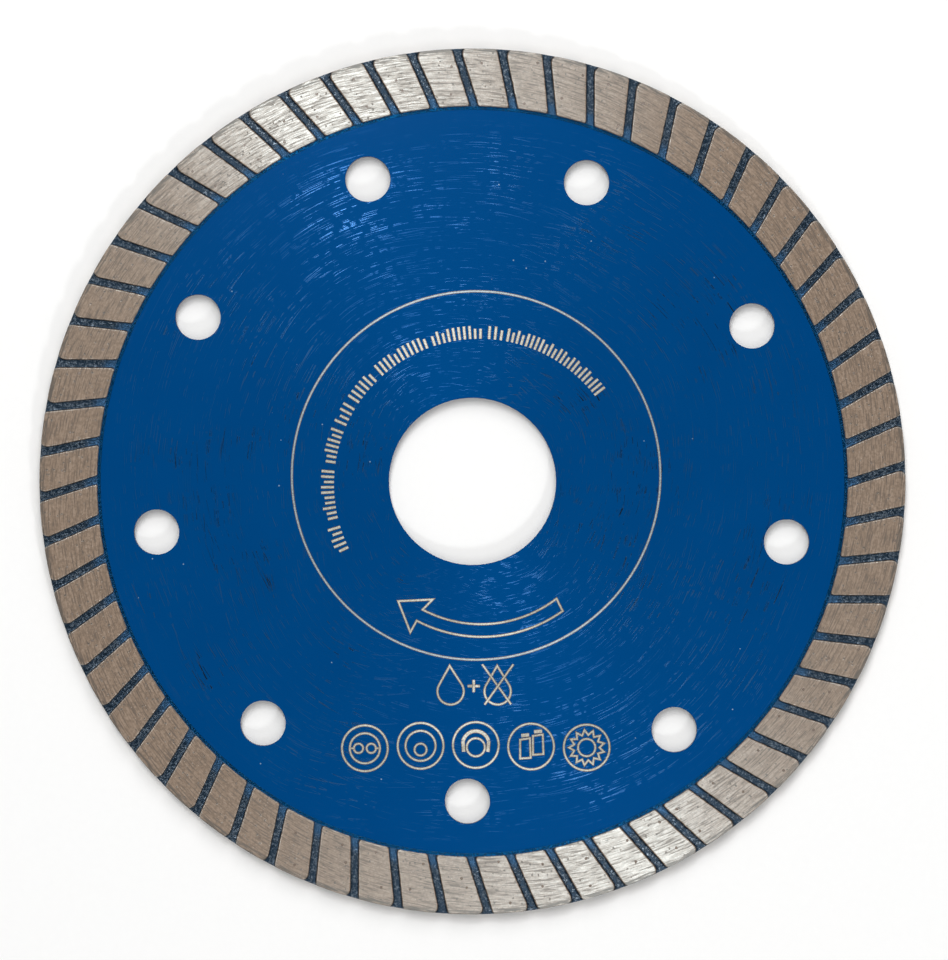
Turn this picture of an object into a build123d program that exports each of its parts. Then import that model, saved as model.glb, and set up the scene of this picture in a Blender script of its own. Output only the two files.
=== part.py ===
"""Turbo-rim diamond cutting disc for an angle grinder: 115 mm across with a 22.23 mm bore.

A lacquered steel core carries one sintered ring of metal bond, which is pressed and sintered
onto the core's notched edge. Each face of the ring has slanted grooves, which leave sixty
raised pads a side. Diamond crystals sit in pockets of the bond: those that break the surface
of the pads and of the cutting edge are modelled, and those buried deeper are not.

The disc lies flat. The origin is the centre of the bore at mid-thickness, and +Z is the spin
axis, out of the front face. Lengths are millimetres and angles are degrees.
"""
import os
from itertools import permutations, product
from math import sqrt
from random import Random

from build123d import *

# Whole disc
OUTER_RADIUS = 57.5
RIM_THICKNESS = 2.2
CORE_THICKNESS = 1.2

# Bore and cooling holes of the core
BORE_RADIUS = 11.115
COOLING_HOLES = 9
COOLING_HOLE_RADIUS = 3.0
COOLING_CIRCLE_RADIUS = 42.5
COOLING_START_ANGLE = -90.9
EDGE_BREAK = 0.05

# Outer edge of the core, which the ring grips: a thinner tongue with a notch under each pad
TONGUE_RADIUS = 51.3
TONGUE_THICKNESS = 1.1
NOTCH_RADIUS = 0.8

# Sintered ring: its lap is the thin lip of bond on the tongue, just inside the pads
LAP_RADIUS = 49.4
LAP_STEP = 0.05
GROOVE_DEPTH = 0.4
RIM_EDGE_BREAK = 0.08

# Pads, measured on their top faces, and the straight grooves between them
PAD_COUNT = 60
PAD_INNER_RADIUS = 49.9
PAD_DRAFT = 18.0
GROOVE_WIDTH = 1.17
GROOVE_LEAN = 18.0
GROOVE_START_ANGLE = -0.25
INNER_LOW_CORNER_RADIUS = 0.35
INNER_HIGH_CORNER_RADIUS = 0.2
OUTER_LOW_CORNER_RADIUS = 0.5
OUTER_HIGH_CORNER_RADIUS = 1.2
OVERRUN = 0.1

# Diamond crystals: how far their middles lie under the surface, and where they lie on a pad
CRYSTAL_SIZE = 0.44
CRYSTAL_DEPTH = 0.12
CRYSTAL_ROWS = ((0.8, 3.2), (4.0, 6.9))
CRYSTAL_SPREAD = 1.45
CRYSTAL_SPREAD_GAIN = 0.07
CRYSTAL_EDGE_SPREAD = 0.4
CRYSTAL_SEED = 115

PITCH = 360 / PAD_COUNT
PAD_TOP = RIM_THICKNESS / 2
GROOVE_FLOOR = PAD_TOP - GROOVE_DEPTH
LAP_TOP = CORE_THICKNESS / 2 + LAP_STEP
ALONG_GROOVE = Vector(1, 0).rotate(Axis.Z, GROOVE_LEAN)
ACROSS_GROOVE = Vector(0, 1).rotate(Axis.Z, GROOVE_LEAN)


def steel_core():
    """Flat steel disc with its bore, cooling holes, and thinner, notched outer edge."""
    core = Cylinder(LAP_RADIUS, CORE_THICKNESS) + Cylinder(TONGUE_RADIUS, TONGUE_THICKNESS)
    core -= Cylinder(BORE_RADIUS, CORE_THICKNESS)
    hole = Cylinder(COOLING_HOLE_RADIUS, CORE_THICKNESS)
    core -= PolarLocations(COOLING_CIRCLE_RADIUS, COOLING_HOLES, COOLING_START_ANGLE) * hole
    rims = core.edges().filter_by(GeomType.CIRCLE)
    core = chamfer(rims.filter_by(lambda edge: edge.radius < COOLING_CIRCLE_RADIUS), EDGE_BREAK)
    notch = Cylinder(NOTCH_RADIUS, TONGUE_THICKNESS)
    first_notch = GROOVE_START_ANGLE + PITCH / 2
    return core - PolarLocations(TONGUE_RADIUS, PAD_COUNT, first_notch) * notch


def groove_side(side):
    """A groove's edge, as a point at the pads' inner radius and a direction.

    side is -1 for the edge at the lower angle and 1 for the other.
    """
    start = Vector(PAD_INNER_RADIUS, 0) + ACROSS_GROOVE * (side * GROOVE_WIDTH / 2)
    return start, ALONG_GROOVE


def meets_circle(start, direction, radius):
    """Where a line from start runs out through a circle about the origin."""
    towards = start.dot(direction)
    reach = sqrt(towards**2 - start.dot(start) + radius**2) - towards
    return start + direction * reach


def pad_outline():
    """Top face of the pad between the first groove and the next, with its corners rounded.

    Low and high name the corners at the pad's lower and higher angle. The outline runs past
    the outer radius, where the whole ring is trimmed later.
    """
    outer_radius = OUTER_RADIUS + OVERRUN
    low = groove_side(1)
    high = [vector.rotate(Axis.Z, PITCH) for vector in groove_side(-1)]
    low_inner = meets_circle(*low, PAD_INNER_RADIUS)
    low_outer = meets_circle(*low, outer_radius)
    high_inner = meets_circle(*high, PAD_INNER_RADIUS)
    high_outer = meets_circle(*high, outer_radius)
    outline = make_face(
        [
            Line(low_inner, low_outer),
            RadiusArc(low_outer, high_outer, -outer_radius),
            Line(high_outer, high_inner),
            RadiusArc(high_inner, low_inner, PAD_INNER_RADIUS),
        ]
    )
    for corner, radius in (
        (low_inner, INNER_LOW_CORNER_RADIUS),
        (high_inner, INNER_HIGH_CORNER_RADIUS),
        (low_outer, OUTER_LOW_CORNER_RADIUS),
        (high_outer, OUTER_HIGH_CORNER_RADIUS),
    ):
        nearest = outline.vertices().sort_by_distance(corner)[0]
        outline = fillet(nearest, radius)
    return outline


def front_pads():
    """The pads of the front face, with drafted walls, rooted in the middle of the ring."""
    top = Pos(0, 0, PAD_TOP) * pad_outline()
    pad = extrude(top, amount=-PAD_TOP + LAP_TOP / 2, taper=-PAD_DRAFT)
    return [Rot(0, 0, GROOVE_START_ANGLE + PITCH * number) * pad for number in range(PAD_COUNT)]


def back_pads(pads):
    """The same pads on the back face, half a pitch round, so that both faces lean alike."""
    return [Rot(0, 0, PITCH / 2) * mirror(pad, Plane.XY) for pad in pads]


def ring_envelope():
    """Outside of the finished ring, which trims the pads and the crystals."""
    envelope = Cylinder(OUTER_RADIUS, RIM_THICKNESS)
    return chamfer(envelope.edges().filter_by(GeomType.CIRCLE), RIM_EDGE_BREAK)


def diamond_rim(core, crystals):
    """Sintered ring: a web between two rows of pads, a lap on the core, and crystal pockets."""
    web = Cylinder(OUTER_RADIUS, 2 * GROOVE_FLOOR) - Cylinder(TONGUE_RADIUS, 2 * GROOVE_FLOOR)
    lap = Cylinder(TONGUE_RADIUS, 2 * LAP_TOP) - Cylinder(LAP_RADIUS, 2 * LAP_TOP)
    pads = front_pads()
    ring = (web + lap) + [*pads, *back_pads(pads)]
    return (ring & ring_envelope()) - core - crystals


def diamond_crystal():
    """Blocky crystal with six square and eight hexagonal faces."""
    quarter = CRYSTAL_SIZE / 4
    signed_orders = [
        signed
        for order in permutations((0, 1, 2))
        for signed in product(*(sorted({value, -value}) for value in order))
    ]
    return ConvexPolyhedron([Vector(*signed) * quarter for signed in signed_orders])


def turned_at_random(crystal, place, dice):
    """A copy of the crystal at a place, turned any way round."""
    return Pos(*place) * Rot(*(dice.uniform(0, 360) for _ in range(3))) * crystal


def face_crystals(crystal, side, dice):
    """Crystals at the tops of the pads, one in each row of each pad. side is 1 for the front."""
    first_pad = GROOVE_START_ANGLE + (PITCH / 2 if side > 0 else PITCH)
    crystals = []
    for number, (nearest, furthest) in product(range(PAD_COUNT), CRYSTAL_ROWS):
        along = dice.uniform(nearest, furthest)
        spread = CRYSTAL_SPREAD + CRYSTAL_SPREAD_GAIN * along
        across = dice.uniform(-spread, spread)
        place = Vector(PAD_INNER_RADIUS, 0) + ALONG_GROOVE * along + ACROSS_GROOVE * across
        place = place.rotate(Axis.Z, first_pad + PITCH * number)
        place += Vector(0, 0, side * (PAD_TOP - CRYSTAL_DEPTH))
        crystals.append(turned_at_random(crystal, place, dice))
    return crystals


def edge_crystals(crystal, dice):
    """Crystals round the cutting edge, one in each pitch."""
    crystals = []
    for number in range(PAD_COUNT):
        place = Vector(OUTER_RADIUS - CRYSTAL_DEPTH, 0).rotate(
            Axis.Z, PITCH * (number + dice.uniform(0.15, 0.85))
        )
        place += Vector(0, 0, dice.uniform(-CRYSTAL_EDGE_SPREAD, CRYSTAL_EDGE_SPREAD))
        crystals.append(turned_at_random(crystal, place, dice))
    return crystals


def worn_flush(crystals):
    """The crystals trimmed to the surface of the ring, as one group of separate solids."""
    envelope = ring_envelope()
    return Compound(children=[(crystal & envelope).solid() for crystal in crystals])


def main():
    dice = Random(CRYSTAL_SEED)
    crystal = diamond_crystal()
    grit = {
        "front_diamonds": face_crystals(crystal, 1, dice),
        "back_diamonds": face_crystals(crystal, -1, dice),
        "edge_diamonds": edge_crystals(crystal, dice),
    }
    core = steel_core()
    rim = diamond_rim(core, [stone for group in grit.values() for stone in group])
    parts = {"steel_core": core, "diamond_rim": rim}
    parts.update({name: worn_flush(group) for name, group in grit.items()})

    os.makedirs("parts", exist_ok=True)
    for name, part in parts.items():
        export_step(part, f"parts/{name}.step")
        print(name, len(part.solids()), "solids", round(part.volume, 3), "mm3")


if __name__ == "__main__":
    main()
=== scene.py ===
"""Looks of the diamond cutting disc: lacquer, sintered ring, crystals, etched marks, light, camera.

Shapes are worked out in millimetres, as in the part, and turned into metres when a mesh is made.
Angles are degrees, anticlockwise from +X as seen from the front, which faces +Z.
"""
from math import atan2, cos, pi, radians, sin, sqrt, tan
from random import Random

import bpy
import numpy as np
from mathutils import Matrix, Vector, noise


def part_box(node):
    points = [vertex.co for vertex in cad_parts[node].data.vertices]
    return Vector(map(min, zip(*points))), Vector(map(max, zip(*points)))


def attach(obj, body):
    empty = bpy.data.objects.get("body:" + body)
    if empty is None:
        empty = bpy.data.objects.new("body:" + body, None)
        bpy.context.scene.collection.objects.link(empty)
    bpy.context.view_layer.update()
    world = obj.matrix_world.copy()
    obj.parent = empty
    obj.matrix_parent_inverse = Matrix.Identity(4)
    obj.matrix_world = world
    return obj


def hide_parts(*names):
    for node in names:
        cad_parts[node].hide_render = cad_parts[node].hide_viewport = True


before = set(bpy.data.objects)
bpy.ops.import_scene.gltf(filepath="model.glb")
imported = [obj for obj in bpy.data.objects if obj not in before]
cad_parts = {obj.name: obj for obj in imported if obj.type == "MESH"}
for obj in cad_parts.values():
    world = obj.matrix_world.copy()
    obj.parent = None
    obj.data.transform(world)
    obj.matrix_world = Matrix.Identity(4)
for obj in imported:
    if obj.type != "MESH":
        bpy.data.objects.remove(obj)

# Blender's own starting objects
for leftover in ("Cube", "Light", "Camera"):
    if leftover in bpy.data.objects:
        bpy.data.objects.remove(bpy.data.objects[leftover])
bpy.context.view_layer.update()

MM = 0.001

# Sizes that the part gives, read from model.glb
CORE_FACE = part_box("steel_core")[1].z / MM
TONGUE_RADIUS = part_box("steel_core")[1].x / MM
OUTER_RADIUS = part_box("diamond_rim")[1].x / MM
PAD_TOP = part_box("diamond_rim")[1].z / MM

# Sintered ring, as the part has it. Low and high name the corners at a pad's lower and higher
# angle. The pads' outline runs past the outer radius. The grooves' floors have only a share of
# the edge break.
TONGUE_FACE = 0.55
LAP_RADIUS = 49.4
LAP_FACE = 0.65
WEB_FACE = 0.70
PAD_COUNT = 60
PITCH = 360 / PAD_COUNT
PAD_INNER_RADIUS = 49.9
OVERRUN = 0.1
PAD_OUTER_RADIUS = OUTER_RADIUS + OVERRUN
GROOVE_WIDTH = 1.17
GROOVE_LEAN = 18.0
GROOVE_START_ANGLE = -0.25
INNER_LOW_CORNER = 0.35
INNER_HIGH_CORNER = 0.2
OUTER_LOW_CORNER = 0.5
OUTER_HIGH_CORNER = 1.2
WALL_WIDTH = 0.13
RIM_EDGE_BREAK = 0.08
GROOVE_EDGE_SHARE = 0.3

# Wear of the ring. The lap ends a small step above the core's face, and has only a share of the
# floor's roughness there. Grinding lines are tilted from the ring's own direction, in degrees.
EDGE_WEAR_WIDTH = 0.07
EDGE_WEAR_DROP = 0.02
GRINDING_LOSS = 0.012
GRINDING_RIPPLE = 0.005
CUTTING_EDGE_WEAR = 0.02
OUTLINE_RAGGEDNESS = 0.035
FLOOR_ROUGHNESS = 0.02
LAP_EDGE_STEP = 0.02
LAP_EDGE_WIDTH = 0.1
LAP_EDGE_SMOOTHNESS = 0.3
GRINDING_TILT = -3.5

# How curved a pad's wall is at its foot, and the most that the floor's grain may rise
WALL_CURVE = 0.6
HIGHEST_GRAIN = 0.8

# Noise of the ring. Each layer has waves to a millimetre, strength and seed. The grinding ripples
# have waves along the lines, waves across them, and a step from pad to pad.
OUTLINE_LAYERS = ((1.6, 1.0, 1), (4.1, 0.7, 2))
FLOOR_LAYERS = ((3.3, 1.0, 3), (7.7, 0.6, 4))
GRINDING_WAVES = (0.4, 3.1, 3.7)
GRINDING_SEED = 5
CUTTING_EDGE_WAVES = 2.2
CUTTING_EDGE_SEED = 6

# Where each face, 1 for the front and -1 for the back, lies in the noise
NOISE_LEVELS = {1: 40.0, -1: 80.0}

# Mesh of the ring: radii of its rows, and how far its columns lie from the edge of a pad, the
# shoulder outside it and the others inside. No pad row is near the step between lap and web. The
# rows of the cutting edge lie at shares of the way from the front face to the back.
INNER_ROWS = (LAP_RADIUS, LAP_RADIUS + 0.04, 49.60, 49.76, 49.82, 49.90, 49.95, 50.03)
PAD_ROWS = np.linspace(50.30, 57.05, 21)
OUTER_ROWS = (57.24, OUTER_RADIUS - RIM_EDGE_BREAK, OUTER_RADIUS)
WEB_STEP = 0.03
WEB_CLEARANCE = 0.15
SHOULDER_COLUMN = 0.045
EDGE_COLUMN = 0.05
TOP_COLUMN = 0.12
TOP_COLUMNS = 9
CUTTING_EDGE_ROWS = (0.2, 0.4, 0.6, 0.8)

# What the place attribute adds to the pads' numbers on the back, and gives the cutting edge
BACK_PADS = 100.0
CUTTING_EDGE = 300.0

# Where the rim wear and its painted shade start and the bluer paint ends, out from the pads' inner
# ends, how far they fade, and the bond's index of refraction
RIM_WEAR_AND_SHADE_START = 6.8
RIM_WEAR_AND_SHADE_FADE = 0.4
SEAT_END = 1.35
SEAT_FADE = 0.8
BOND_GLOSS = 2.45

# Marks on the front face: how high they stand and how deep they are rooted, how wide their brown
# borders fade and reach, and the widths of the lines
MARK_THICKNESS = 0.008
MARK_LAYER = 0.0003
MARK_ROOT = 0.01
BURNT_FADE = 0.02
BURNT_WIDTH = 0.08
LINE_WIDTH = 0.19
BOLD_LINE = 0.26
HEAVY_LINE = 0.38
SHORTEST_MITRE = 0.35
RING_CENTRE = (0.48, 0.79)
RING_RADIUS = 24.48

# Rotation arrow: corners of its head, and centre, radius, start and end of its two long edges
ARROW_HEAD = ((-7.41, -18.50), (-8.26, -20.03), (-9.87, -15.91), (-5.30, -15.69), (-6.62, -17.04))
ARROW_INNER_EDGE = ((1.13, -2.45), 16.52, -118.6, -52.6)
ARROW_OUTER_EDGE = ((1.24, -2.16), 18.49, -54.5, -117.9)
ARROW_STEPS = 23

# Use symbols: tips and middles of the drops, and ends of the straight strokes
WET_DROP = ((-3.03, -24.50), (-2.91, -27.90))
DRY_DROP = ((3.28, -24.50), (3.34, -27.90))
DROP_RADIUS = 1.75
PLUS_STROKES = (((-0.65, -27.19), (0.97, -27.19)), ((0.16, -28.0), (0.16, -26.38)))
CROSS_STROKES = (((1.29, -24.3), (5.11, -29.6)), ((5.43, -24.3), (1.62, -29.65)))

# Scale of ticks: where its groups start and end, and the ticks' spacing and reach. Its centre and
# the ring's are a little off the disc's.
SCALE_CENTRE = (0.92, -0.37)
SCALE_RADIUS = 20.2
TICK_GROUPS = (
    (37.4, 79.4),
    (81.2, 86.6),
    (89.2, 108.2),
    (110.6, 131.8),
    (134.8, 146.2),
    (148.8, 156.4),
    (159.0, 171.8),
    (174.8, 193.4),
    (196.6, 206.0),
)
TICK_SPACING = 1.85
TICK_MARGIN = 0.4
TICK_FOOT = 0.87
TALL_TICK = 0.85
SHORT_TICK = 0.45
TALL_TICK_SHARE = 0.6
TICK_SEED = 9

# Safety symbols, from left to right
SYMBOL_CENTRES = (
    (-14.30, -35.46),
    (-6.90, -35.13),
    (0.44, -35.02),
    (7.78, -35.22),
    (15.17, -35.36),
)
SYMBOL_RADIUS = 3.04
HEAD_RADIUS = 2.0
DISC_TEETH = 13

# Colours, as linear red, green, blue
LACQUER_DEEP = (0.0, 0.050, 0.186, 1)
LACQUER_LIGHT = (0.0, 0.057, 0.206, 1)
SCRATCH_BLUE = (0.030, 0.102, 0.245, 1)
DUST_GREY = (0.35, 0.5, 0.6, 1)
CUT_STEEL = (0.20, 0.20, 0.21, 1)
RUST_BROWN = (0.13, 0.075, 0.045, 1)
BOND_BROWN = (0.268, 0.186, 0.129, 1)
BOND_RIDGE = (0.345, 0.255, 0.190, 1)
BOND_FURROW = (0.12, 0.08, 0.055, 1)
BOND_BLOTCH = (0.145, 0.098, 0.066, 1)
# Colour of the bright specks on the bond, a painted highlight that stands in for glints
BOND_GLINT_SPECK = (0.62, 0.54, 0.46, 1)
# Dark of the pits, also used as painted shade along the pads' outer rim
BOND_PIT_AND_SHADE = (0.06, 0.045, 0.035, 1)
PAINT_NAVY = (0.011, 0.034, 0.068, 1)
PAINT_WORN = (0.125, 0.160, 0.200, 1)
PAINT_SEAT = (0.030, 0.112, 0.240, 1)
LAP_BLUE = (0.004, 0.080, 0.215, 1)
LAP_WORN = (0.012, 0.058, 0.130, 1)
# Near-black grey of the pads' walls, painted shade for the dark line along the pads' edges
WALL_SHADE_GREY = (0.040, 0.037, 0.040, 1)
GRIT_DARK = (0.095, 0.070, 0.052, 1)
GRIT_LIGHT = (0.21, 0.155, 0.115, 1)
STEEL_BRIGHT = (0.40, 0.45, 0.48, 1)
STEEL_DULL = (0.26, 0.28, 0.28, 1)
TAN_BRIGHT = (0.57, 0.56, 0.50, 1)
TAN_DULL = (0.38, 0.34, 0.26, 1)
BURNT_BROWN = (0.050, 0.036, 0.026, 1)
FLOOR_DIM = (0.89, 0.89, 0.885, 1)
FLOOR_BRIGHT = (0.91, 0.91, 0.905, 1)
BOND_TINT = (0.90, 1.0, 1.0, 1)

# Lights: name, azimuth, elevation, then distance, width and upright size in metres, and watts
LIGHTS = (
    ("key_light", 82, 46, 0.9, 0.4, 0.5, 2.86),
    ("side_light", 294, 33, 0.9, 0.1, 0.1, 1.74),
    ("upper_box", 108, 66, 1.0, 0.2, 0.5, 4.60),
    ("lower_box", 288, 66, 1.0, 0.2, 0.5, 1.60),
)

# Surroundings: their strength, and where they end and how far they fade, in degrees of height
SURROUNDINGS = 0.276
SURROUNDINGS_END = 70
SURROUNDINGS_FADE = 12

# Floor, and camera, which looks straight down on a point. The height seen is at the pads' tops.
FLOOR_REACH = 3000.0
CAMERA_DISTANCE = 600.0
CAMERA_POINT = (0.20, 0.19)
SEEN_HEIGHT = 127.44
SENSOR = 36.0


# ---- Meshes ---------------------------------------------------------------------------------


def new_piece(name, vertices, faces, material):
    """A smooth mesh piece on the root body, from vertices in millimetres."""
    mesh = bpy.data.meshes.new(name)
    mesh.from_pydata((np.asarray(vertices) * MM).tolist(), [], faces)
    mesh.polygons.foreach_set("use_smooth", [True] * len(mesh.polygons))
    mesh.materials.append(material)
    piece = bpy.data.objects.new(name, mesh)
    bpy.context.scene.collection.objects.link(piece)
    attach(piece, "root")
    return piece


def keep_values(piece, name, values):
    """Stores a number, or a vector, for each vertex of a piece, for its material to read."""
    values = np.asarray(values, dtype=np.float32)
    kind, field = ("FLOAT", "value") if values.ndim == 1 else ("FLOAT_VECTOR", "vector")
    attribute = piece.data.attributes.new(name, kind, "POINT")
    attribute.data.foreach_set(field, values.ravel())


def on_circle(radius, angle, height):
    """Points at a radius, at angles in radians, and at a height."""
    heights = np.broadcast_to(height, np.shape(angle))
    return np.column_stack([radius * np.cos(angle), radius * np.sin(angle), heights])


def smooth_noise(points, seed):
    """Smooth noise from about -1 to 1 at each of the points."""
    shift = Vector((seed * 17.3, seed * 5.9, seed * 11.1))
    return np.array([noise.noise(Vector(point) + shift) for point in points])


def layered_noise(points, layers):
    """Sum of layers of noise, each with its waves to a millimetre, strength and seed."""
    return sum(strength * smooth_noise(points * waves, seed) for waves, strength, seed in layers)


# ---- Sintered ring --------------------------------------------------------------------------


def first_groove(side):
    """Angle in radians of the first groove of a face. side is 1 for the front, -1 for the back."""
    return radians(GROOVE_START_ANGLE + (0 if side > 0 else PITCH / 2))


def groove_side(side):
    """A groove's straight edge: a point at the pads' inner radius and a direction.

    side is 1 for the edge at the higher angle and -1 for the other.
    """
    lean = radians(GROOVE_LEAN)
    along = np.array([cos(lean), sin(lean)])
    across = np.array([-sin(lean), cos(lean)])
    start = np.array([PAD_INNER_RADIUS, 0.0]) + across * (side * GROOVE_WIDTH / 2)
    return start, along


def side_angle(side, radius):
    """Angle in radians at which a groove's edge crosses a circle, from the groove's own angle."""
    start, direction = groove_side(side)
    towards = start @ direction
    reach = sqrt(towards**2 - start @ start + radius**2) - towards
    point = start + direction * reach
    return atan2(point[1], point[0])


def distance_inside(side, x, y):
    """How far points lie from a groove's edge, on the side away from the groove."""
    start, direction = groove_side(side)
    return side * (direction[0] * (y - start[1]) - direction[1] * (x - start[0]))


def rounded_corner(first, second, radius):
    """Distance inside two edges that meet at a corner of that radius."""
    near = (first < radius) & (second < radius)
    rounded = radius - np.hypot(radius - first, radius - second)
    return np.where(near, rounded, np.minimum(first, second))


def distance_inside_pad(radius, angle):
    """Signed distance inside the outline of the pad that lies between angle 0 and one pitch."""
    pitch = radians(PITCH)
    low = distance_inside(1, radius * np.cos(angle), radius * np.sin(angle))
    high = distance_inside(-1, radius * np.cos(angle - pitch), radius * np.sin(angle - pitch))
    inner = radius - PAD_INNER_RADIUS
    outer = PAD_OUTER_RADIUS - radius
    corners = (
        rounded_corner(low, inner, INNER_LOW_CORNER),
        rounded_corner(high, inner, INNER_HIGH_CORNER),
        rounded_corner(low, outer, OUTER_LOW_CORNER),
        rounded_corner(high, outer, OUTER_HIGH_CORNER),
    )
    return np.minimum.reduce(corners)


def corner_inset(corner, depth):
    """How far a rounded corner takes the outline in, at a depth from the edge it ends on."""
    if depth >= corner:
        return 0.0
    return corner - sqrt(corner**2 - (corner - max(depth, 0.0)) ** 2)


def outline_inset(radius, inner_corner, outer_corner):
    """How far the two rounded corners at one side of a pad take its outline in at a radius."""
    inner = corner_inset(inner_corner, radius - PAD_INNER_RADIUS)
    return inner + corner_inset(outer_corner, PAD_OUTER_RADIUS - radius)


def pitch_columns(radius):
    """Angles of the mesh columns over one pitch, from the middle of one groove to the next.

    They follow the edges of the pad, its drafted walls, and its rounded corners. A unit is the
    angle of one millimetre across a groove.
    """
    unit = 1 / (radius * cos(radians(GROOVE_LEAN)))
    low_inset = outline_inset(radius, INNER_LOW_CORNER, OUTER_LOW_CORNER)
    high_inset = outline_inset(radius, INNER_HIGH_CORNER, OUTER_HIGH_CORNER)
    low = side_angle(1, radius) + low_inset * unit
    high = radians(PITCH) + side_angle(-1, radius) - high_inset * unit
    foot, shoulder = WALL_WIDTH * unit, SHOULDER_COLUMN * unit
    edge, shelf = EDGE_COLUMN * unit, TOP_COLUMN * unit
    middle = (side_angle(-1, radius) + side_angle(1, radius)) / 2
    floor_start = np.linspace(middle, low - foot, 3)[:-1]
    floor_end = np.linspace(high + foot, middle + radians(PITCH), 3)[:-1]
    pad = np.linspace(low + shelf, high - shelf, TOP_COLUMNS)
    return np.concatenate(
        [
            floor_start,
            [low - foot, low - shoulder, low, low + edge],
            pad,
            [high - edge, high, high + shoulder],
            floor_end,
        ]
    )


def face_radii():
    """Radii of the mesh rows across one face of the ring, close together at its edges."""
    step = (TONGUE_RADIUS - WEB_STEP, TONGUE_RADIUS + WEB_STEP)
    middle = [radius for radius in PAD_ROWS if abs(radius - TONGUE_RADIUS) > WEB_CLEARANCE]
    return sorted([*INNER_ROWS, *middle, *step, *OUTER_ROWS])


def groove_floor(radius, points):
    """Heights of the grooves' pitted floor, which is lower and smoother at the lap's edge."""
    floor = LAP_FACE if radius < TONGUE_RADIUS else WEB_FACE
    if radius <= LAP_RADIUS:
        floor = CORE_FACE + LAP_EDGE_STEP
    roughness = FLOOR_ROUGHNESS * (LAP_EDGE_SMOOTHNESS if radius < LAP_RADIUS + LAP_EDGE_WIDTH else 1)
    grain = layered_noise(points, FLOOR_LAYERS)
    return floor + roughness * np.minimum(grain, HIGHEST_GRAIN)


def ground_top(radius, local, pad):
    """Heights of the pads' tops, with ripples that follow the grinding lines."""
    along = local * radius
    level = radius + along * tan(radians(GRINDING_TILT))
    lines = np.column_stack([along, level, pad]) * GRINDING_WAVES
    return PAD_TOP - GRINDING_LOSS + GRINDING_RIPPLE * smooth_noise(lines, GRINDING_SEED)


def face_heights(radius, angle, pad, side):
    """Heights of one face over one row, and how far the points lie inside their pads.

    side is 1 for the front face and -1 for the back.
    """
    local = angle - first_groove(side) - radians(PITCH) * pad
    points = on_circle(radius, angle, NOISE_LEVELS[side])
    ragged = OUTLINE_RAGGEDNESS * layered_noise(points, OUTLINE_LAYERS)
    inside = distance_inside_pad(radius, local) + ragged
    floor = groove_floor(radius, points)
    top = ground_top(radius, local, pad)
    rise = np.clip(1 + inside / WALL_WIDTH, 0, 1)
    rise = rise * rise * (1 + WALL_CURVE - WALL_CURVE * rise)
    worn = EDGE_WEAR_DROP * np.clip(1 - inside / EDGE_WEAR_WIDTH, 0, 1) ** 2
    return floor + (top - worn - floor) * rise, inside


def face_columns(radius, side):
    """Angles of a row's points on one face, and the number of the pad that each belongs to.

    The back face starts half a pitch back, so that its columns meet the front's at the edge.
    """
    columns = pitch_columns(radius)
    pad = np.repeat(np.arange(PAD_COUNT), len(columns))
    angle = np.tile(columns, PAD_COUNT) + pad * radians(PITCH) + radians(GROOVE_START_ANGLE)
    if side < 0:
        half = len(columns) // 2
        angle, pad = np.roll(angle, half), np.roll(pad, half)
        angle[:half] -= 2 * pi
        pad[:half] -= PAD_COUNT
        angle = angle + radians(PITCH / 2)
    return angle, pad


def face_row(radius, side):
    """One row of a face: points, how ground each is, place on the pad, and angles.

    A place is how far round from the pad's middle, how far out, and which pad.
    """
    angle, pad = face_columns(radius, side)
    height, inside = face_heights(radius, angle, pad, side)
    if radius > OUTER_RADIUS - RIM_EDGE_BREAK / 2:
        height = height - RIM_EDGE_BREAK * np.where(inside > -WALL_WIDTH, 1.0, GROOVE_EDGE_SHARE)
    along = (angle - first_groove(side) - radians(PITCH) * (pad + 0.5)) * radius
    outwards = np.full(len(angle), radius - PAD_INNER_RADIUS)
    place = np.column_stack([along, outwards, pad + BACK_PADS * (side < 0)])
    ground = np.clip(1 + inside / WALL_WIDTH, 0, 1)
    return on_circle(radius, angle, side * height), ground, place, angle


def cutting_edge_row(top, bottom, share):
    """A row of the cutting edge, at a share of the way from the front face to the back."""
    angle = top[3] * (1 - share) + bottom[3] * share
    height = top[0][:, 2] * (1 - share) + bottom[0][:, 2] * share
    spots = np.column_stack([angle * OUTER_RADIUS, height, np.zeros(len(angle))])
    wear = 1 + smooth_noise(spots * CUTTING_EDGE_WAVES, CUTTING_EDGE_SEED)
    radius = OUTER_RADIUS - CUTTING_EDGE_WEAR * wear
    place = np.column_stack([angle * OUTER_RADIUS, height, np.full(len(angle), CUTTING_EDGE)])
    return on_circle(radius, angle, height), np.ones(len(angle)), place


def ring_rows():
    """Rows of the ring's mesh round its section: front face, cutting edge, back face, core seat.

    Each row is (points, how ground the surface is there, place on the pad).
    """
    radii = face_radii()
    front = [face_row(radius, 1) for radius in radii]
    back = [face_row(radius, -1) for radius in reversed(radii)]
    rows = [row[:3] for row in front]
    rows += [cutting_edge_row(front[-1], back[0], share) for share in CUTTING_EDGE_ROWS]
    rows += [row[:3] for row in back]
    _, _, place, angle = front[0]
    for radius, height in (
        (LAP_RADIUS, -TONGUE_FACE),
        (TONGUE_RADIUS, -TONGUE_FACE),
        (TONGUE_RADIUS, TONGUE_FACE),
        (LAP_RADIUS, TONGUE_FACE),
    ):
        rows.append((on_circle(radius, angle, height), np.zeros(len(angle)), place))
    return rows


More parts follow.
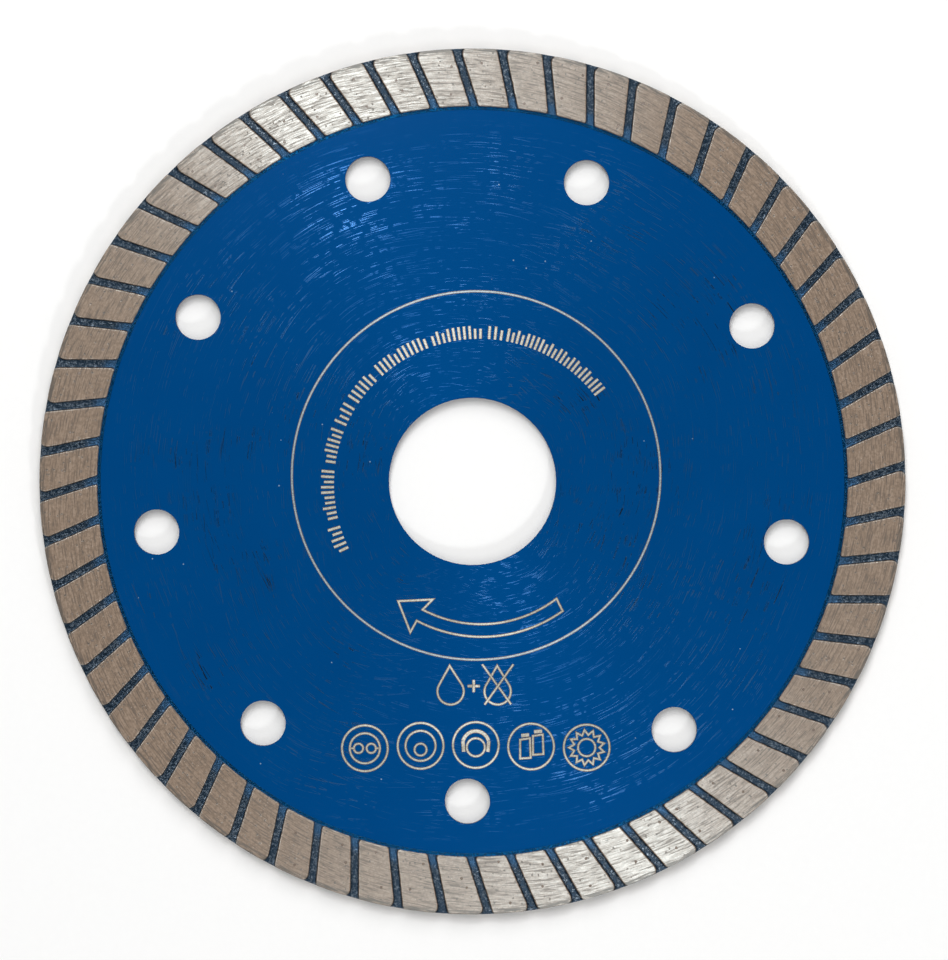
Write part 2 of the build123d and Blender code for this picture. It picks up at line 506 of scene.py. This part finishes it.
def turbo_rim(material):
    """The sintered ring as one closed mesh, in place of the part's own plain ring."""
    rows = ring_rows()
    across = len(rows[0][0])
    vertices = np.concatenate([row[0] for row in rows])
    faces = []
    for row in range(len(rows)):
        here, there = row * across, (row + 1) % len(rows) * across
        for column in range(across):
            after = (column + 1) % across
            faces.append((here + column, there + column, there + after, here + after))
    piece = new_piece("turbo_rim", vertices, faces, material)
    keep_values(piece, "ground", np.concatenate([row[1] for row in rows]))
    keep_values(piece, "place", np.concatenate([row[2] for row in rows]))
    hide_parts("diamond_rim")


# ---- Marks on the front face ----------------------------------------------------------------


class Marks:
    """Thin closed strips on the front face of the core, gathered into one piece."""

    def __init__(self):
        self.vertices, self.faces, self.browning, self.strokes = [], [], [], 0

    def section(self, width):
        """Points across the next strip: how far to the side, how high, and how browned."""
        top = MARK_THICKNESS + self.strokes * MARK_LAYER
        bright = width / 2
        burnt, edge = bright + BURNT_FADE, bright + BURNT_WIDTH
        return (
            (-edge, -MARK_ROOT, 1),
            (-edge, top, 1),
            (-burnt, top, 1),
            (-bright, top, 0),
            (bright, top, 0),
            (burnt, top, 1),
            (edge, top, 1),
            (edge, -MARK_ROOT, 1),
        )

    @staticmethod
    def sideways(points, index, closed):
        """Vector across a strip at one of its points, drawn out at a corner for the mitre."""
        point, last = points[index], len(points) - 1
        before = points[index - 1] if index or closed else point
        after = points[(index + 1) % len(points)] if index < last or closed else point
        arriving = (point - before).normalized()
        leaving = (after - point).normalized()
        bisector = (arriving + leaving).normalized()
        mitre = max(SHORTEST_MITRE, bisector.dot(arriving), bisector.dot(leaving))
        return Vector((-bisector.y, bisector.x)) / mitre

    def skin(self, first, count, size, closed):
        """Faces of a strip of count points, with size vertices at each, from the first vertex on."""
        for index in range(count if closed else count - 1):
            here = first + index * size
            there = first + (index + 1) % count * size
            for corner in range(size):
                following = (corner + 1) % size
                self.faces.append((here + corner, here + following, there + following, there + corner))
        if not closed:
            last = first + (count - 1) * size
            self.faces.append(tuple(first + corner for corner in reversed(range(size))))
            self.faces.append(tuple(last + corner for corner in range(size)))

    def stroke(self, points, width=LINE_WIDTH, closed=False):
        """A strip along points in the plane, with mitred corners, browned along its borders.

        Each strip stands a little higher than the one before, so that crossing strips don't share
        a surface.
        """
        points = [Vector(point) for point in points]
        section = self.section(width)
        self.skin(len(self.vertices), len(points), len(section), closed)
        self.strokes += 1
        for index, point in enumerate(points):
            sideways = self.sideways(points, index, closed)
            for offset, height, browning in section:
                spot = point + sideways * offset
                self.vertices.append((spot.x, spot.y, CORE_FACE + height))
                self.browning.append(browning)

    def piece(self, name, material):
        """Makes all the strips so far one flat-shaded piece."""
        made = new_piece(name, self.vertices, self.faces, material)
        made.data.polygons.foreach_set("use_smooth", [False] * len(made.data.polygons))
        keep_values(made, "browning", self.browning)


def beside(centre, x, y):
    """The point that lies x and y from a centre."""
    return centre[0] + x, centre[1] + y


def shifted(centre, *steps):
    """Points that lie the given (x, y) from a centre."""
    return [beside(centre, *step) for step in steps]


def polar(centre, radius, angle):
    """The point at a radius and an angle from a centre."""
    return centre[0] + radius * cos(radians(angle)), centre[1] + radius * sin(radians(angle))


def arc(centre, radius, start, end, steps):
    """Points along an arc."""
    return [polar(centre, radius, start + (end - start) * step / steps) for step in range(steps + 1)]


def circle(centre, radius, steps=64):
    """Points round a circle, for a closed stroke."""
    return arc(centre, radius, 0, 360, steps)[:-1]


def etched_ring(material):
    """Fine ring round the scale and the arrow."""
    marks = Marks()
    marks.stroke(circle(RING_CENTRE, RING_RADIUS, 240), closed=True)
    marks.piece("etched_ring", material)


def etched_scale(material):
    """Groups of plain ticks on an arc, in the place of the printed data."""
    dice = Random(TICK_SEED)
    marks = Marks()
    for start, end in TICK_GROUPS:
        ticks = max(3, round((end - start) / TICK_SPACING))
        for angle in np.linspace(start + TICK_MARGIN, end - TICK_MARGIN, ticks):
            top = TALL_TICK if dice.random() < TALL_TICK_SHARE else SHORT_TICK
            reach = (SCALE_RADIUS - TICK_FOOT, SCALE_RADIUS + top)
            marks.stroke([polar(SCALE_CENTRE, radius, angle) for radius in reach], BOLD_LINE)
    marks.piece("etched_scale", material)


def rotation_arrow(material):
    """Outlined arrow that shows which way the disc turns."""
    inner = arc(*ARROW_INNER_EDGE, ARROW_STEPS)
    outer = arc(*ARROW_OUTER_EDGE, ARROW_STEPS)
    marks = Marks()
    marks.stroke([*ARROW_HEAD, *inner[1:], *outer[:-1]], closed=True)
    marks.piece("rotation_arrow", material)


def drop_outline(tip, middle):
    """A water drop: a round foot drawn out to a tip."""
    return [tip, *arc(middle, DROP_RADIUS, 152, 388, 30)]


def use_marks(material):
    """Drop, plus sign, and crossed-out drop: the disc cuts wet and dry."""
    marks = Marks()
    marks.stroke(drop_outline(*WET_DROP), closed=True)
    for ends in PLUS_STROKES:
        marks.stroke(ends, BOLD_LINE)
    marks.stroke(drop_outline(*DRY_DROP), closed=True)
    for ends in CROSS_STROKES:
        marks.stroke(ends)
    marks.piece("wet_and_dry_marks", material)


def draw_goggles(marks, centre):
    """A head with goggles and their strap."""
    for side in (-1, 1):
        marks.stroke(circle(beside(centre, side * 0.85, 0), 0.62, 24), closed=True)
        marks.stroke(shifted(centre, (side * 1.5, 0), (side * 2.0, 0)))
    marks.stroke(circle(centre, HEAD_RADIUS, 40), closed=True)


def draw_mask(marks, centre):
    """A head with a breathing mask."""
    marks.stroke(circle(beside(centre, 0, -0.5), 0.8, 24), closed=True)
    marks.stroke(circle(centre, HEAD_RADIUS, 40), closed=True)


def draw_muffs(marks, centre):
    """A head with ear muffs and their band."""
    marks.stroke(arc(beside(centre, 0, 0.1), 1.75, 15, 165, 24), HEAVY_LINE)
    for side in (-1, 1):
        marks.stroke(shifted(centre, (side * 1.72, 0.5), (side * 1.6, -0.9)), HEAVY_LINE)
    marks.stroke(circle(beside(centre, 0, -0.3), 1.2, 40), closed=True)


def draw_gloves(marks, centre):
    """Two gloves with their cuffs, as plain blocks."""
    for glove in shifted(centre, (-0.75, 0.0), (0.95, 0.5)):
        block = shifted(glove, (-0.7, -1.6), (-0.7, 0.9), (0.6, 1.1), (0.7, -1.5))
        marks.stroke(block, closed=True)
        marks.stroke(shifted(glove, (-0.55, 1.45), (0.5, 1.55)), HEAVY_LINE)


def draw_disc(marks, centre):
    """A toothed disc."""
    marks.stroke(circle(centre, 1.15, 36), closed=True)
    zigzag = [
        polar(centre, 2.35 if step % 2 else 1.7, 180 * step / DISC_TEETH)
        for step in range(2 * DISC_TEETH)
    ]
    marks.stroke(zigzag, closed=True)


def safety_marks(material):
    """Five ringed symbols: goggles, breathing mask, ear muffs, gloves, toothed disc."""
    marks = Marks()
    for centre in SYMBOL_CENTRES:
        marks.stroke(circle(centre, SYMBOL_RADIUS), closed=True)
    symbols = (draw_goggles, draw_mask, draw_muffs, draw_gloves, draw_disc)
    for draw, centre in zip(symbols, SYMBOL_CENTRES):
        draw(marks, centre)
    marks.piece("safety_marks", material)


# ---- Materials ------------------------------------------------------------------------------


class Recipe:
    """One material's nodes, with a short call for each kind."""

    def __init__(self, name):
        self.material = bpy.data.materials.new(name)
        self.material.use_nodes = True
        self.tree = self.material.node_tree
        self.shader = self.tree.nodes["Principled BSDF"]
        place = self.node("ShaderNodeTexCoord").outputs["Object"]
        self.millimetres = self.scaled(place, 1 / MM)

    def node(self, kind, **settings):
        """A new node with those settings."""
        made = self.tree.nodes.new(kind)
        for name, value in settings.items():
            setattr(made, name, value)
        return made

    def feed(self, socket, value):
        """Links a socket to another node's output, or sets its own value."""
        if isinstance(value, bpy.types.NodeSocket):
            self.tree.links.new(value, socket)
        else:
            socket.default_value = value

    def number(self, operation, *values):
        """Result of a Math node."""
        made = self.node("ShaderNodeMath", operation=operation)
        for socket, value in zip(made.inputs, values):
            self.feed(socket, value)
        return made.outputs[0]

    def scaled(self, vector, factor):
        """A vector times a plain number."""
        made = self.node("ShaderNodeVectorMath", operation="SCALE")
        self.feed(made.inputs[0], vector)
        made.inputs["Scale"].default_value = factor
        return made.outputs[0]

    def vector(self, x, y, z):
        """Vector from its three parts."""
        made = self.node("ShaderNodeCombineXYZ")
        for socket, value in zip(made.inputs, (x, y, z)):
            self.feed(socket, value)
        return made.outputs[0]

    def parts(self, vector):
        """The three parts of a vector."""
        made = self.node("ShaderNodeSeparateXYZ")
        self.feed(made.inputs[0], vector)
        return made.outputs

    def attribute(self, name, output="Vector"):
        """What the mesh keeps under a name."""
        return self.node("ShaderNodeAttribute", attribute_name=name).outputs[output]

    def noise(self, place, scale, detail, roughness=0.5):
        """Smooth noise from 0 to 1, with scale waves to a unit of place."""
        made = self.node("ShaderNodeTexNoise")
        self.feed(made.inputs["Vector"], place)
        made.inputs["Scale"].default_value = scale
        made.inputs["Detail"].default_value = detail
        made.inputs["Roughness"].default_value = roughness
        return made.outputs["Fac"]

    def cells(self, place, scale):
        """Distance to the nearest of scattered points, which lie about 1 / scale apart."""
        made = self.node("ShaderNodeTexVoronoi")
        self.feed(made.inputs["Vector"], place)
        made.inputs["Scale"].default_value = scale
        return made.outputs["Distance"]

    def ramp(self, value, start, end, low=0.0, high=1.0):
        """value, taken from start..end to low..high, with smooth ends."""
        made = self.node("ShaderNodeMapRange", interpolation_type="SMOOTHSTEP")
        self.feed(made.inputs["Value"], value)
        for name, number in zip(("From Min", "From Max", "To Min", "To Max"), (start, end, low, high)):
            self.feed(made.inputs[name], number)
        return made.outputs[0]

    def blend(self, share, first, second):
        """Colour between first, at share 0, and second, at share 1."""
        made = self.node("ShaderNodeMix", data_type="RGBA")
        self.feed(made.inputs[0], share)
        self.feed(made.inputs[6], first)
        self.feed(made.inputs[7], second)
        return made.outputs[2]

    def between(self, share, first, second):
        """Number between first, at share 0, and second, at share 1."""
        made = self.node("ShaderNodeMix", data_type="FLOAT")
        self.feed(made.inputs[0], share)
        self.feed(made.inputs[2], first)
        self.feed(made.inputs[3], second)
        return made.outputs[0]

    def bump(self, height, depth, normal=None):
        """Normal of a surface whose height of 1 stands depth millimetres proud."""
        made = self.node("ShaderNodeBump")
        made.inputs["Strength"].default_value = 1.0
        made.inputs["Distance"].default_value = depth * MM
        self.feed(made.inputs["Height"], height)
        if normal is not None:
            self.feed(made.inputs["Normal"], normal)
        return made.outputs[0]

    def round_axis(self):
        """(x over radius, y over radius, radius) in millimetres: a seamless way round the disc."""
        x, y, _ = self.parts(self.millimetres)
        squares = self.number("ADD", self.number("MULTIPLY", x, x), self.number("MULTIPLY", y, y))
        radius = self.number("SQRT", squares)
        return self.number("DIVIDE", x, radius), self.number("DIVIDE", y, radius), radius

    def brushed(self, amount, turn):
        """Highlights drawn out across lines that run round the axis, turned by some degrees."""
        self.shader.inputs["Anisotropic"].default_value = amount
        self.shader.inputs["Anisotropic Rotation"].default_value = 0.25 + turn / 360
        tangent = self.node("ShaderNodeTangent", direction_type="RADIAL", axis="Z")
        self.feed(self.shader.inputs["Tangent"], tangent.outputs[0])

    def finish(self, colour, roughness, metallic, normal=None, specular=0.5):
        """Feeds the shader and gives the material."""
        self.feed(self.shader.inputs["Base Color"], colour)
        self.feed(self.shader.inputs["Roughness"], roughness)
        self.feed(self.shader.inputs["Metallic"], metallic)
        self.shader.inputs["Specular IOR Level"].default_value = specular
        if normal is not None:
            self.feed(self.shader.inputs["Normal"], normal)
        return self.material


def scratch_lines(recipe, length, width, wander, seed, rare):
    """Fine lines that run round the axis and stray a little from it: 1 on a line, 0 elsewhere.

    length, width and wander, which is how far the lines stray, are rough sizes in millimetres.
    The higher rare is, the fewer the lines.
    """
    x, y, radius = recipe.round_axis()
    drift = recipe.noise(recipe.vector(x, y, seed * 7.0), 0.9, 0.0)
    strayed = recipe.number("MULTIPLY_ADD", drift, wander, radius)
    waves_round = 16.0 / length
    waves_outwards = 0.45 / width
    place = recipe.vector(
        recipe.number("MULTIPLY", x, waves_round),
        recipe.number("MULTIPLY", y, waves_round),
        recipe.number("MULTIPLY_ADD", strayed, waves_outwards, seed * 31.0),
    )
    lines = recipe.ramp(recipe.noise(place, 1.0, 0.0), rare, rare + 0.07)
    broken = recipe.ramp(recipe.noise(recipe.millimetres, 1.0, 1.0), 0.42, 0.52)
    return recipe.number("MULTIPLY", lines, broken)


def handling_scratches(recipe):
    """Fine scratches in patches all over the core, with fewer near the ring: 0 to 1."""
    radius = recipe.round_axis()[2]
    fine = scratch_lines(recipe, length=2.0, width=0.042, wander=12.0, seed=1, rare=0.68)
    long = scratch_lines(recipe, length=4.0, width=0.048, wander=16.0, seed=2, rare=0.70)
    handled = recipe.ramp(recipe.noise(recipe.millimetres, 0.07, 2.0), 0.40, 0.60, 0.35)
    worn = recipe.number("MULTIPLY", handled, recipe.ramp(radius, 44.0, 49.0, 1.0, 0.2))
    return recipe.number("MULTIPLY", recipe.number("MAXIMUM", fine, long), worn)


def cut_steel(recipe):
    """Where the core's steel is bare, on the walls of its holes, and the steel's colour."""
    upright = recipe.parts(recipe.node("ShaderNodeNewGeometry").outputs["Normal"])[2]
    bare = recipe.ramp(recipe.number("ABSOLUTE", upright), 0.3, 0.45, 1.0, 0.0)
    rust = recipe.ramp(recipe.noise(recipe.millimetres, 1.3, 4.0), 0.5, 0.7)
    return bare, recipe.blend(rust, CUT_STEEL, RUST_BROWN)


def lacquered_steel():
    """Satin blue lacquer with fine handling scratches, and bare steel where the holes are cut."""
    recipe = Recipe("blue_lacquer")
    cloud = recipe.noise(recipe.millimetres, 0.09, 3.0)
    scratches = handling_scratches(recipe)
    dust = recipe.ramp(recipe.cells(recipe.millimetres, 0.28), 0.015, 0.035, 0.6, 0.0)
    bare, steel = cut_steel(recipe)
    colour = recipe.blend(cloud, LACQUER_DEEP, LACQUER_LIGHT)
    colour = recipe.blend(scratches, colour, SCRATCH_BLUE)
    colour = recipe.blend(dust, colour, DUST_GREY)
    colour = recipe.blend(bare, colour, steel)
    roughness = recipe.between(scratches, recipe.ramp(cloud, 0.3, 0.7, 0.46, 0.50), 0.25)
    roughness = recipe.between(bare, roughness, 0.5)
    metallic = recipe.between(scratches, 0.10, 1.0)
    metallic = recipe.between(bare, metallic, 0.7)
    peel = recipe.bump(recipe.noise(recipe.millimetres, 2.2, 2.0), 0.0006)
    recipe.brushed(0.8, 0.0)
    recipe.shader.inputs["Coat Weight"].default_value = 0.1
    recipe.shader.inputs["Coat Roughness"].default_value = 0.12
    return recipe.finish(colour, roughness, metallic, peel, specular=0.0)


def grinding_marks(recipe, along, outwards, pad, grain):
    """Grinding lines of the bond, and its dark marks, both 0 to 1.

    The marks are pits that crystals left, tails behind crystals, and the worn outer rim, which is
    rougher there and also painted darker as shade.
    """
    level = recipe.number("MULTIPLY_ADD", along, tan(radians(GRINDING_TILT)), outwards)
    apart = recipe.number("MULTIPLY", pad, 5.3)
    drawn_out = recipe.number("MULTIPLY", along, 0.45)
    strokes = recipe.vector(drawn_out, recipe.number("MULTIPLY", level, 5.5), apart)
    lines = recipe.noise(strokes, 1.0, 2.0, 0.6)
    shaken = recipe.number("MULTIPLY_ADD", grain, 0.5, level)
    pits = recipe.ramp(recipe.cells(recipe.vector(along, shaken, apart), 1.2), 0.10, 0.20, 0.75, 0.0)
    further_out = recipe.number("MULTIPLY", along, 0.22)
    behind = recipe.vector(further_out, level, recipe.number("MULTIPLY", pad, 1.7))
    tails = recipe.ramp(recipe.cells(behind, 1.7), 0.07, 0.14, 0.7, 0.0)
    # Worn outer rim: rougher, and painted darker as shade where its rounded edge catches less light
    rim = recipe.ramp(outwards, RIM_WEAR_AND_SHADE_START, RIM_WEAR_AND_SHADE_START + RIM_WEAR_AND_SHADE_FADE)
    rim = recipe.number("MULTIPLY", rim, recipe.ramp(lines, 0.46, 0.60, 0.7, 0.1))
    return lines, recipe.number("MAXIMUM", recipe.number("MAXIMUM", pits, tails), rim)


def ground_bond(recipe, lines, dark):
    """Colour and roughness of the bond: dark furrows, bright ridges, blotches, and bright specks that
    are painted glints.
    """
    furrow = recipe.ramp(lines, 0.38, 0.46, 1.0, 0.0)
    ridge = recipe.ramp(lines, 0.52, 0.60)
    coarse = recipe.noise(recipe.millimetres, 2.6, 2.0, 0.7)
    # Painted highlight: sparse bright specks stand in for glints on the bond
    glint_specks = recipe.ramp(recipe.cells(recipe.millimetres, 1.5), 0.05, 0.11, 0.6, 0.0)
    colour = recipe.blend(ridge, BOND_BROWN, BOND_RIDGE)
    colour = recipe.blend(recipe.number("MULTIPLY", furrow, 0.9), colour, BOND_FURROW)
    colour = recipe.blend(recipe.ramp(coarse, 0.40, 0.54, 0.50, 0.0), colour, BOND_BLOTCH)
    colour = recipe.blend(glint_specks, colour, BOND_GLINT_SPECK)
    # Pits and tails darken the bond, and so does painted shade along the outer rim
    colour = recipe.blend(dark, colour, BOND_PIT_AND_SHADE)
    roughness = recipe.between(furrow, recipe.between(ridge, 0.44, 0.31), 0.66)
    return colour, recipe.between(dark, roughness, 0.70)


def groove_paint(recipe, outwards, ground, patch):
    """Colour, roughness and metallic of the grooves: navy paint, worn through in glinting patches.

    It is bluer at the grooves' inner ends and on the lap over the core, and near-black grey on the
    walls, painted shade for the dark outline along the pads' edges.
    """
    seat = recipe.ramp(outwards, SEAT_END - SEAT_FADE, SEAT_END + SEAT_FADE, 1.0, 0.0)
    lap = recipe.ramp(outwards, -0.10, 0.0, 1.0, 0.0)
    # Painted shade: the pads' walls are coloured near-black for the dark line along their edges
    wall = recipe.ramp(ground, 0.15, 0.50, 0.0, 0.8)
    colour = recipe.blend(patch, PAINT_NAVY, PAINT_WORN)
    colour = recipe.blend(recipe.number("MULTIPLY", seat, 0.85), colour, PAINT_SEAT)
    colour = recipe.blend(lap, colour, recipe.blend(patch, LAP_BLUE, LAP_WORN))
    colour = recipe.blend(wall, colour, WALL_SHADE_GREY)
    metallic = recipe.between(lap, recipe.between(patch, 0.85, 0.95), 1.0)
    metallic = recipe.between(wall, metallic, 0.6)
    return colour, recipe.between(patch, 0.55, 0.36), metallic


def sintered_bond():
    """Ground metal bond on the pads and the cutting edge, blue paint left in the grooves."""
    recipe = Recipe("sintered_bond")
    ground = recipe.attribute("ground", "Fac")
    along, outwards, pad = recipe.parts(recipe.attribute("place"))
    grain = recipe.noise(recipe.millimetres, 5.0, 3.0, 0.6)
    patch = recipe.ramp(recipe.noise(recipe.millimetres, 3.4, 4.0, 0.65), 0.44, 0.64)
    lines, dark = grinding_marks(recipe, along, outwards, pad, grain)
    bond, bond_roughness = ground_bond(recipe, lines, dark)
    paint, paint_roughness, paint_metallic = groove_paint(recipe, outwards, ground, patch)

    # The bond shows through the paint where the ring is ground, with a ragged border
    shown = recipe.number("MULTIPLY_ADD", recipe.number("SUBTRACT", grain, 0.5), 0.8, ground)
    shown = recipe.ramp(shown, 0.62, 0.80)
    colour = recipe.blend(shown, paint, bond)
    roughness = recipe.between(shown, paint_roughness, bond_roughness)
    metallic = recipe.between(shown, paint_metallic, 0.0)
    painted = recipe.number("SUBTRACT", 1.0, shown)
    relief = recipe.number("SUBTRACT", lines, dark)
    rough = recipe.bump(recipe.number("MULTIPLY", patch, painted), 0.03)
    normal = recipe.bump(recipe.number("MULTIPLY", relief, shown), 0.012, rough)
    recipe.brushed(1.0, GRINDING_TILT)
    recipe.shader.inputs["IOR"].default_value = BOND_GLOSS
    recipe.shader.inputs["Specular Tint"].default_value = BOND_TINT
    return recipe.finish(colour, roughness, metallic, normal)


def diamond_grit():
    """Dark grey-brown crystals with worn, glinting faces."""
    recipe = Recipe("diamond_grit")
    tint = recipe.noise(recipe.millimetres, 0.8, 1.0)
    flaws = recipe.noise(recipe.millimetres, 9.0, 3.0)
    colour = recipe.blend(tint, GRIT_DARK, GRIT_LIGHT)
    roughness = recipe.ramp(flaws, 0.35, 0.7, 0.2, 0.5)
    normal = recipe.bump(flaws, 0.01)
    return recipe.finish(colour, roughness, metallic=0.0, normal=normal, specular=0.9)


def etched_steel(name, bright, dull):
    """Bare steel where the lacquer is burnt away, browned along the borders."""
    recipe = Recipe(name)
    browning = recipe.attribute("browning", "Fac")
    grain = recipe.noise(recipe.millimetres, 6.0, 2.0, 0.6)
    steel = recipe.blend(recipe.ramp(grain, 0.35, 0.7), bright, dull)
    burnt = recipe.ramp(recipe.number("MULTIPLY_ADD", grain, 0.3, browning), 0.35, 0.85, 0.0, 0.85)
    colour = recipe.blend(burnt, steel, BURNT_BROWN)
    normal = recipe.bump(grain, 0.008)
    recipe.brushed(0.6, 0.0)
    return recipe.finish(colour, roughness=0.5, metallic=0.45, normal=normal)


def floor_paper():
    """Plain white studio floor with a faint tooth."""
    recipe = Recipe("white_floor")
    tooth = recipe.noise(recipe.millimetres, 1.2, 3.0)
    colour = recipe.blend(tooth, FLOOR_DIM, FLOOR_BRIGHT)
    return recipe.finish(colour, roughness=0.9, metallic=0.0, specular=0.0)


# ---- Studio ---------------------------------------------------------------------------------


def studio_floor():
    """A wide floor under the disc, which lies on its back pads."""
    mesh = bpy.data.meshes.new("studio_floor")
    sides = ((-1, -1), (1, -1), (1, 1), (-1, 1))
    corners = [(x * FLOOR_REACH, y * FLOOR_REACH, -PAD_TOP) for x, y in sides]
    mesh.from_pydata((np.array(corners) * MM).tolist(), [], [(0, 1, 2, 3)])
    mesh.materials.append(floor_paper())
    floor = bpy.data.objects.new("studio_floor", mesh)
    bpy.context.scene.collection.objects.link(floor)


def area_light(name, azimuth, elevation, distance, width, upright, power):
    """A soft light that looks at the disc from a side and a height, unseen by the camera."""
    light = bpy.data.lights.new(name, "AREA")
    light.shape = "RECTANGLE"
    light.size, light.size_y = width, upright
    light.energy = power
    lamp = bpy.data.objects.new(name, light)
    towards = Vector(
        (
            cos(radians(azimuth)) * cos(radians(elevation)),
            sin(radians(azimuth)) * cos(radians(elevation)),
            sin(radians(elevation)),
        )
    )
    lamp.location = towards * distance
    lamp.rotation_euler = towards.to_track_quat("Z", "Y").to_euler()
    lamp.visible_camera = False
    bpy.context.scene.collection.objects.link(lamp)


def soft_surroundings():
    """Dim white surroundings that fade out high above the horizon, to dark overhead."""
    world = bpy.data.worlds.new("studio")
    world.use_nodes = True
    nodes, links = world.node_tree.nodes, world.node_tree.links
    place = nodes.new("ShaderNodeTexCoord")
    split = nodes.new("ShaderNodeSeparateXYZ")
    fade = nodes.new("ShaderNodeMapRange")
    fade.interpolation_type = "SMOOTHSTEP"
    fade.inputs["From Min"].default_value = sin(radians(SURROUNDINGS_END - SURROUNDINGS_FADE))
    fade.inputs["From Max"].default_value = sin(radians(SURROUNDINGS_END))
    fade.inputs["To Min"].default_value = SURROUNDINGS
    fade.inputs["To Max"].default_value = 0.0
    nodes["Background"].inputs["Color"].default_value = (1, 1, 1, 1)
    links.new(place.outputs["Generated"], split.inputs[0])
    links.new(split.outputs["Z"], fade.inputs["Value"])
    links.new(fade.outputs[0], nodes["Background"].inputs["Strength"])
    bpy.context.scene.world = world


def camera():
    """A long lens straight above the disc."""
    lens = bpy.data.cameras.new("camera")
    lens.sensor_width = SENSOR
    lens.lens = SENSOR * CAMERA_DISTANCE / SEEN_HEIGHT
    lens.clip_start, lens.clip_end = 0.01, 20.0
    viewer = bpy.data.objects.new("camera", lens)
    viewer.location = Vector((*CAMERA_POINT, PAD_TOP + CAMERA_DISTANCE)) * MM
    bpy.context.scene.collection.objects.link(viewer)
    bpy.context.scene.camera = viewer


def studio():
    """Floor, lights and camera, shown with plain colours."""
    studio_floor()
    for light in LIGHTS:
        area_light(*light)
    soft_surroundings()
    camera()
    bpy.context.scene.view_settings.view_transform = "Standard"
    bpy.context.scene.view_settings.look = "None"


def finish_cad_nodes():
    """Better materials for the CAD nodes that stay."""
    lacquer, grit = lacquered_steel(), diamond_grit()
    for name, material in (
        ("steel_core", lacquer),
        ("front_diamonds", grit),
        ("back_diamonds", grit),
        ("edge_diamonds", grit),
    ):
        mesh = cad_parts[name].data
        mesh.materials.clear()
        mesh.materials.append(material)


def main():
    """Gives every piece its look, and makes the studio."""
    finish_cad_nodes()
    turbo_rim(sintered_bond())
    etched_ring(etched_steel("polished_etching", STEEL_BRIGHT, STEEL_DULL))
    tan_etching = etched_steel("tan_etching", TAN_BRIGHT, TAN_DULL)
    for draw in (etched_scale, rotation_arrow, use_marks, safety_marks):
        draw(tan_etching)
    studio()


main()
